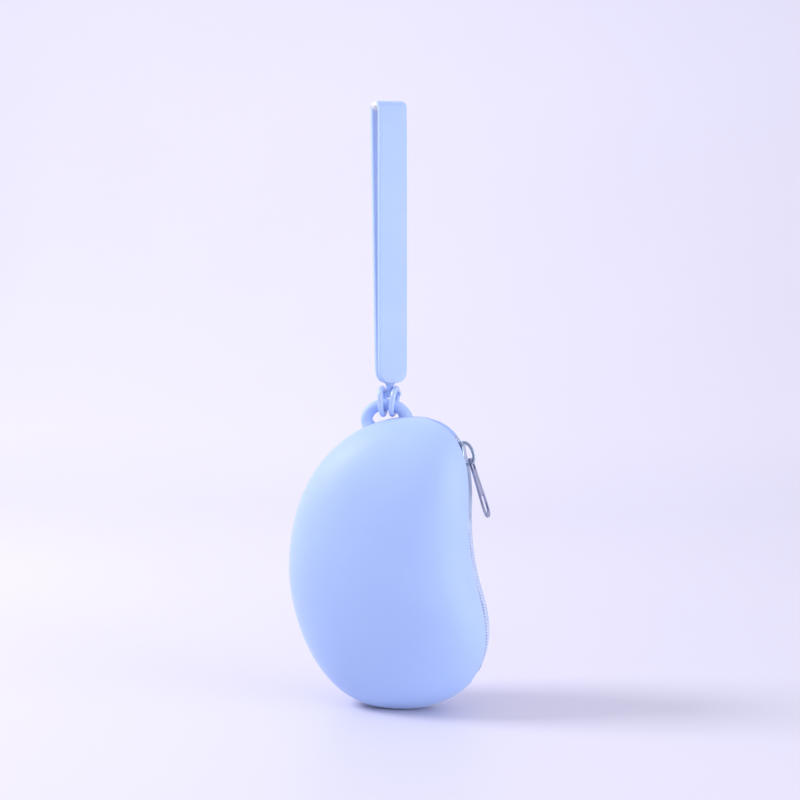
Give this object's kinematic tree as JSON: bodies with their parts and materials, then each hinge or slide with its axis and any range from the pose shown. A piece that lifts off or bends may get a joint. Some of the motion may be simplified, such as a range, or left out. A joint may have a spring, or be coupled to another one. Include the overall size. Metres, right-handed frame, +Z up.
{
  "type": "silicone cosmetic pouch",
  "caption": "Bean-shaped hollow silicone pouch with a zip down one side, a moulded carry ring on top and a folded wrist strap hung from it by a pinned link of two hoops.",
  "frame": {"origin": "inside of the wrist strap's top fold, where it bears on what it hangs from", "axes": "+Z up along the strap, +X towards the zip side, -Y out of the pouch's front face"},
  "size_m": [0.0793, 0.046, 0.2356],
  "materials": {
    "silicone": "soft matte silicone, periwinkle blue",
    "strap_silicone": "soft matte silicone, pale blue",
    "zip_tape": "fine woven tape, grey blue",
    "zip_teeth": "moulded teeth, satin grey blue",
    "zip_metal": "dark grey plating",
    "slider_metal": "dark gunmetal plating",
    "tab_metal": "dark gunmetal plating",
    "link_paint": "smooth blue paint on metal wire"
  },
  "bodies": {
    "strap": {"wrist_strap": "strap_silicone", "link_pin": "link_paint", "link_pin_cap": "link_paint"},
    "right_hoop": {"link_right": "link_paint"},
    "left_hoop": {"link_left": "link_paint"},
    "pouch": {"pouch_body": "silicone", "zip_tape_front": "zip_tape", "zip_tape_back": "zip_tape", "zip_teeth_front": "zip_teeth", "zip_teeth_back": "zip_teeth", "zip_top_stop_front": "zip_metal", "zip_top_stop_back": "zip_metal", "zip_bottom_stop": "zip_metal"},
    "slider": {"zip_slider": "slider_metal"},
    "tab": {"pull_tab": "tab_metal"}
  },
  "joints": [
    {"name": "right_hoop_swing", "type": "hinge", "parent": "strap", "child": "right_hoop", "pos_m": [0.00005, 0, -0.1116], "axis": [1, 0, 0], "range_deg": [-30, 30]},
    {"name": "left_hoop_swing", "type": "hinge", "parent": "strap", "child": "left_hoop", "pos_m": [0.00005, 0, -0.1116], "axis": [1, 0, 0], "range_deg": [-30, 30]},
    {"name": "pouch_swing", "type": "hinge", "parent": "right_hoop", "child": "pouch", "pos_m": [-0.001, 0, -0.11572], "axis": [1, 0, 0], "range_deg": [-55, 55]},
    {"name": "zip_slide", "type": "slide", "parent": "pouch", "child": "slider", "axis": [0.1103, 0, -0.9939], "range_m": [0, 0.036]},
    {"name": "tab_swing", "type": "hinge", "parent": "slider", "child": "tab", "pos_m": [0.03214, 0, -0.1368], "axis": [0, -1, 0], "range_deg": [-6, 120]}
  ],
  "couplings": [
    {"joint": "left_hoop_swing", "follows": "right_hoop_swing", "ratio": 1}
  ]
}
